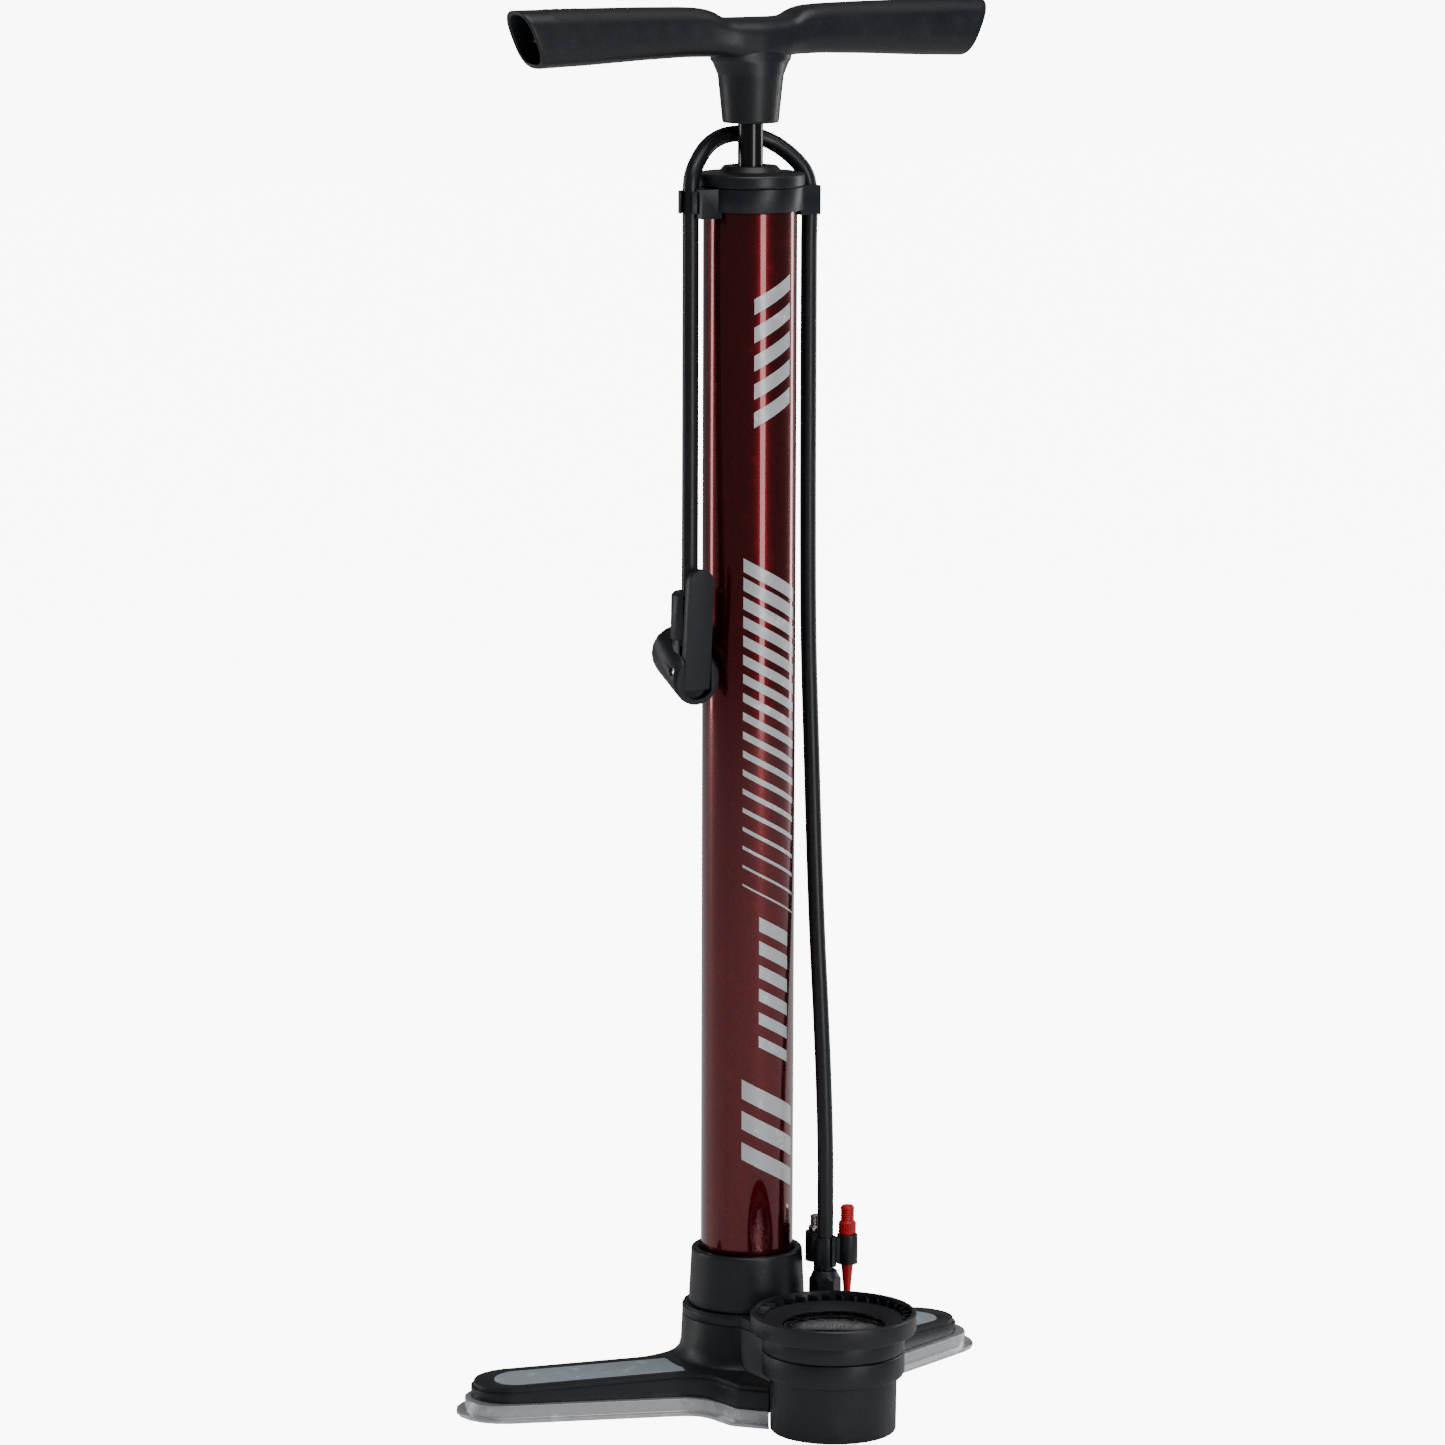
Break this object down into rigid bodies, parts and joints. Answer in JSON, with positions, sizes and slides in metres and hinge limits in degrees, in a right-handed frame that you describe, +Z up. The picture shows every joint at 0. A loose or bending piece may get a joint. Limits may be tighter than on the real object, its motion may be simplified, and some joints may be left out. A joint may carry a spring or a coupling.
{
  "type": "floor bike pump",
  "caption": "Upright floor bicycle pump with a T-handle on a sliding rod, a swept two-foot base, a top-reading pressure gauge, and a hose that clips over the cap to a lever head.",
  "frame": {"origin": "middle of the outline on the floor, under the object; the barrel stands 31.8 mm behind it", "axes": "+Z up along the barrel, +X along the handle towards the hose fitting, -Y towards the gauge"},
  "size_m": [0.258, 0.15, 0.6017],
  "materials": {
    "black_plastic": "fine moulded grain, satin",
    "grip_rubber": "soft moulded pad",
    "piston_plastic": "turned smooth",
    "base_steel": "pressed, silver coat",
    "step_pad": "light grey-blue, fine grain",
    "bright_steel": "plated",
    "plain_steel": "plain",
    "barrel_paint": "dark red metallic under clear coat",
    "rod_black": "gloss black",
    "seal_rubber": "plain",
    "hose_rubber": "smooth satin",
    "red_plastic": "moulded",
    "brass": "turned",
    "dial_white": "printed scale",
    "gauge_glass": "clear, polished"
  },
  "bodies": {
    "base": {"base_plate": "base_steel", "base_cover": "black_plastic", "step_pad_left": "step_pad", "step_pad_right": "step_pad", "base_screw_1": "bright_steel", "base_screw_2": "bright_steel", "base_screw_3": "bright_steel", "top_cover": "black_plastic", "barrel_collar": "black_plastic", "gauge_column": "black_plastic", "gauge_movement": "brass", "gauge_dial": "dial_white", "gauge_lens": "gauge_glass", "gauge_bezel": "black_plastic", "gauge_pipe": "brass", "barrel": "barrel_paint", "barrel_seal": "seal_rubber", "valve_plate": "plain_steel", "check_valve_spring": "bright_steel", "cap_body": "black_plastic", "cap_top": "black_plastic", "rod_wiper": "seal_rubber", "rod_guide": "black_plastic", "top_bumper": "seal_rubber", "hose": "hose_rubber", "hose_nut": "black_plastic", "hose_barb": "brass", "adapter_holder": "black_plastic", "head_body": "black_plastic", "head_neck": "black_plastic", "lever_pin": "bright_steel", "valve_grommet": "seal_rubber", "port_ring": "black_plastic"},
    "piston": {"piston_nut": "bright_steel", "piston_washer": "plain_steel", "piston_cup": "seal_rubber", "piston_head": "piston_plastic", "piston_guide_ring": "red_plastic"},
    "handle": {"piston_rod": "rod_black", "handle": "black_plastic", "grip_inlay_left": "grip_rubber", "grip_inlay_right": "grip_rubber", "handle_screw": "bright_steel"},
    "head_lever": {"head_lever": "black_plastic"},
    "clamp_plunger": {"clamp_plunger": "red_plastic"},
    "check_valve": {"check_valve_disc": "seal_rubber"},
    "gauge_needle": {"gauge_needle": "red_plastic"},
    "cone_adapter": {"cone_adapter": "red_plastic"},
    "ball_needle": {"ball_needle": "bright_steel"}
  },
  "joints": [
    {"name": "pump_stroke", "type": "slide", "parent": "base", "child": "piston", "axis": [0, 0, 1], "range_m": [0, 0.44]},
    {"name": "handle_swivel", "type": "hinge", "parent": "piston", "child": "handle", "pos_m": [0, 0.0318, 0.05], "axis": [0, 0, 1], "continuous": true},
    {"name": "lever_flip", "type": "hinge", "parent": "base", "child": "head_lever", "pos_m": [-0.032, 0.0241, 0.3215], "axis": [1, 0, 0], "range_deg": [0, 85]},
    {"name": "plunger_push", "type": "slide", "parent": "base", "child": "clamp_plunger", "axis": [0, 1, 0], "range_m": [0, 0.0012]},
    {"name": "valve_lift", "type": "slide", "parent": "base", "child": "check_valve", "axis": [0, 0, -1], "range_m": [0, 0.0012], "stiffness_N_per_m": 60, "springref_m": -0.001, "deforming": ["check_valve_spring"]},
    {"name": "needle_sweep", "type": "hinge", "parent": "base", "child": "gauge_needle", "pos_m": [0, -0.0396, 0.04], "axis": [0, 0, -1], "range_deg": [0, 270], "stiffness_Nm_per_rad": 0.00005, "springref_deg": -17.19},
    {"name": "cone_pull", "type": "slide", "parent": "base", "child": "cone_adapter", "axis": [0, 0, 1], "range_m": [0, 0.044]},
    {"name": "ball_needle_pull", "type": "slide", "parent": "base", "child": "ball_needle", "axis": [0, 0, 1], "range_m": [0, 0.036]}
  ],
  "couplings": [
    {"joint": "plunger_push", "follows": "lever_flip", "m_per_rad": 0.00080888}
  ]
}
